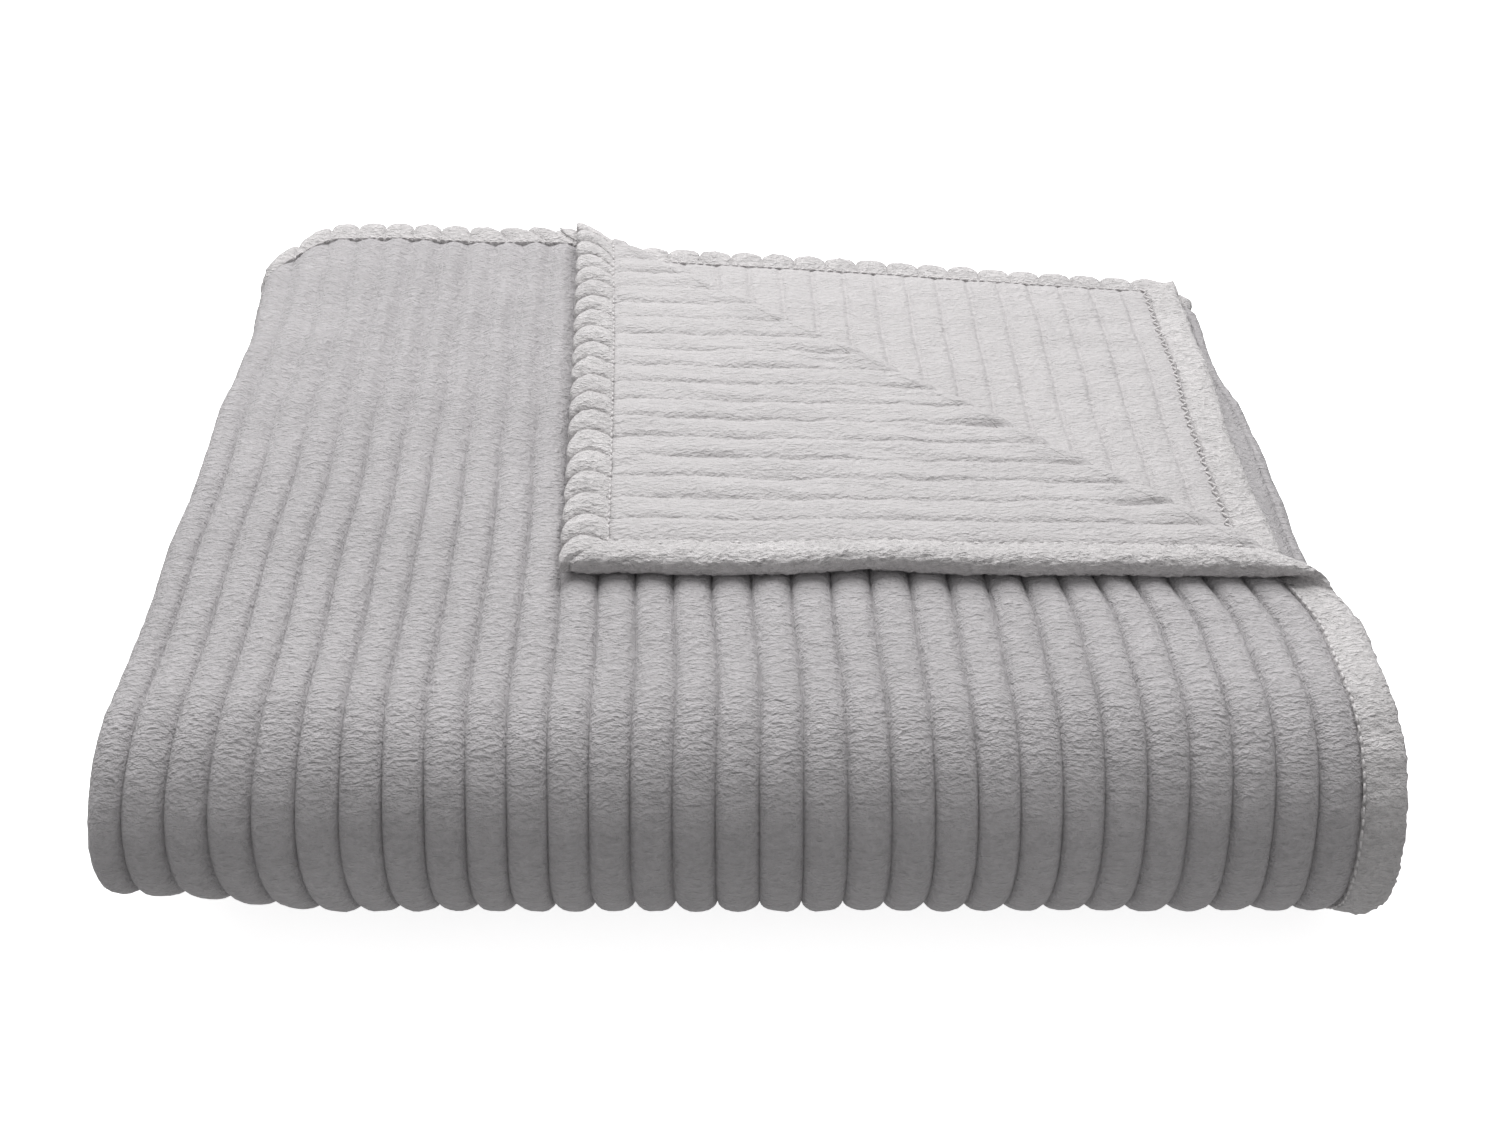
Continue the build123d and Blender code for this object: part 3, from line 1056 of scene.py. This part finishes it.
def thread_piece(name, starts, ends, depth, where):
    """A row of stitches, each a spindle of thread sunk a little into the pile."""
    starts, ends = np.array(starts), np.array(ends)
    run = ends - starts
    length = np.hypot(run[:, 0], run[:, 1])[:, None]
    side = np.stack([-run[:, 1], run[:, 0]], axis=-1) / length
    share = np.linspace(0, 1, 7)
    angle = np.linspace(0, 2 * math.pi, 7)
    radius = THREAD_RADIUS * np.sqrt(np.maximum(1 - (2 * share - 1) ** 4, 0))
    middle = starts[:, None] + run[:, None] * share[None, :, None]
    out = radius[None, :, None] * np.cos(angle)[None, None, :]
    t = middle[:, :, None, 0] + side[:, None, None, 0] * out
    s = middle[:, :, None, 1] + side[:, None, None, 1] * out
    sag = THREAD_SAG * (1 - (2 * share - 1) ** 2)
    w = depth + sag[None, :, None] * np.sign(depth)
    w = w + radius[None, :, None] * np.sin(angle)[None, None, :]
    points = where(t, s, np.broadcast_to(w, t.shape))
    quads = [grid_quads(7, 7, 49 * i, False) for i in range(len(starts))]
    quads = np.concatenate(quads)
    uv = np.stack([t.ravel(), s.ravel()], axis=-1)
    material = bpy.data.materials["throw_thread"]
    index = np.zeros(len(quads))
    return build_mesh(name, points.reshape(-1, 3), quads, uv, [material], index)


def stitch_run(first, last, fixed, along_s, zigzag=0.0):
    """Ends of the stitches in a row between two places, beside a hem."""
    places = np.arange(first, last, STITCH_PITCH)
    starts, ends = [], []
    for i, place_on in enumerate(places):
        step = STITCH_PITCH if zigzag else STITCH_LENGTH
        offset = (zigzag, 0.0) if i % 2 else (0.0, zigzag)
        near = (fixed + offset[0], place_on)
        far = (fixed + offset[1], place_on + step)
        starts.append(near if along_s else near[::-1])
        ends.append(far if along_s else far[::-1])
    return starts, ends


class THROW_OT_stitches(bpy.types.Operator):
    """Sew the hems down with rows of thread"""

    bl_idname = "throw.stitches"
    bl_label = "Stitches"

    def execute(self, context):
        flat_from = HEM_CUT - SEAM + 0.003
        flap_to = BACK + EDGE_A - SEAM - PAST_SUM - 0.001

        def row(name, run, depth, where, replaced):
            piece = thread_piece(name, *run, depth, where)
            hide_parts(*replaced)
            return piece

        depth = STITCH_DEPTH
        line = SEAM + 0.0003
        run = stitch_run(flat_from, ENDS[2], line, True)
        stands_for = ["panel_a_side_stitches", "front_roll_side_stitches"]
        straddle(row("side_stitches", run, depth, place, stands_for))
        run = stitch_run(flat_from, EDGES[1], line, False)
        piece = row("back_stitches", run, depth, place, ["panel_a_back_stitches"])
        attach(piece, "top_leaf")
        reach = EDGES[7] - line
        run = stitch_run(SEAM, ENDS[1], reach - STITCH_LENGTH, True, ZIGZAG_WIDTH)
        stands_for = ["panel_b_side_stitches"]
        piece = row("under_side_stitches", run, -ZIGZAG_DEPTH, place, stands_for)
        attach(piece, "top_leaf")
        run = stitch_run(EDGES[6], reach, line, False)
        piece = row("under_back_stitches", run, -depth, place, ["panel_b_back_stitches"])
        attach(piece, "top_leaf")
        for side, along_s in (("side", True), ("back", False)):
            run = stitch_run(SEAM, flap_to, line, along_s)
            stands_for = [f"flap_{side}_stitches"]
            piece = row(f"corner_{side}_stitches", run, -depth, place_corner, stands_for)
            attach(piece, "corner_flap")
        return {"FINISHED"}


class THROW_OT_stage(bpy.types.Operator):
    """Set the pale floor, the soft light and the camera"""

    bl_idname = "throw.stage"
    bl_label = "Stage"

    def execute(self, context):
        colours = context.scene.throw_colours
        work = bmesh.new()
        bmesh.ops.create_grid(work, x_segments=8, y_segments=8, size=3.0)
        mesh = bpy.data.meshes.new("floor")
        work.to_mesh(mesh)
        work.free()
        floor = bpy.data.objects.new("floor", mesh)
        context.scene.collection.objects.link(floor)
        floor.location.z = -0.0005
        floor.visible_diffuse = False
        material = bpy.data.materials.new("pale_floor")
        material.use_nodes = True
        shader = material.node_tree.nodes["Principled BSDF"]
        shader.inputs["Base Color"].default_value = (*colours.floor, 1)
        shader.inputs["Roughness"].default_value = 0.95
        shader.inputs["Specular IOR Level"].default_value = 0.0
        shader.inputs["Emission Color"].default_value = (1.0, 1.0, 1.0, 1)
        shader.inputs["Emission Strength"].default_value = 0.75
        mesh.materials.append(material)
        self.light_world(context)
        self.add_lights(context)
        self.add_camera(context)
        return {"FINISHED"}

    def light_world(self, context):
        world = bpy.data.worlds.new("studio")
        context.scene.world = world
        world.use_nodes = True
        background = world.node_tree.nodes["Background"]
        background.inputs["Color"].default_value = (1.0, 1.0, 1.0, 1)
        background.inputs["Strength"].default_value = 0.42

    def add_lights(self, context):
        lamps = [
            ("top_light", (0.0, 0.75, 1.3), 1.3, 27.0),
            ("left_light", (-1.2, 0.7, 0.9), 0.8, 5.0),
        ]
        for name, spot, size, power in lamps:
            lamp = bpy.data.lights.new(name, "AREA")
            lamp.size = size
            lamp.energy = power
            holder = bpy.data.objects.new(name, lamp)
            holder.location = spot
            aim = Vector((0, 0, 0.04)) - Vector(spot)
            holder.rotation_euler = aim.to_track_quat("-Z", "Y").to_euler()
            context.scene.collection.objects.link(holder)

    def add_camera(self, context):
        camera = bpy.data.cameras.new("camera")
        camera.sensor_width = 36.0
        camera.lens = 42.0
        holder = bpy.data.objects.new("camera", camera)
        holder.location = (0.002, FRONT - 0.3475, TOP + 0.3298)
        holder.rotation_euler = (math.radians(90 - 36.55), 0, 0)
        context.scene.collection.objects.link(holder)
        context.scene.camera = holder
        context.scene.view_settings.view_transform = "Standard"


class THROW_PT_panel(bpy.types.Panel):
    """Sizes, colours and steps of the folded throw"""

    bl_label = "Folded Ribbed Throw"
    bl_idname = "THROW_PT_panel"
    bl_space_type = "VIEW_3D"
    bl_region_type = "UI"
    bl_category = "Throw"

    def draw(self, context):
        column = self.layout.column()
        for group in (context.scene.throw_sizes, context.scene.throw_colours):
            for name in group.bl_rna.properties.keys():
                if name not in ("rna_type", "name"):
                    column.prop(group, name)
        for step in STEPS:
            column.operator(step.bl_idname)


STEPS = (
    THROW_OT_cloths,
    THROW_OT_face_cloth,
    THROW_OT_corner,
    THROW_OT_inner_panels,
    THROW_OT_hems,
    THROW_OT_stitches,
    THROW_OT_stage,
)
CLASSES = (ThrowSizes, ThrowColours) + STEPS + (THROW_PT_panel,)


def register():
    for entry in CLASSES:
        bpy.utils.register_class(entry)
    bpy.types.Scene.throw_sizes = PointerProperty(type=ThrowSizes)
    bpy.types.Scene.throw_colours = PointerProperty(type=ThrowColours)


def unregister():
    del bpy.types.Scene.throw_colours
    del bpy.types.Scene.throw_sizes
    for entry in reversed(CLASSES):
        bpy.utils.unregister_class(entry)


def main():
    register()
    for step in STEPS:
        group, name = step.bl_idname.split(".")
        getattr(getattr(bpy.ops, group), name)()


if __name__ == "__main__":
    main()
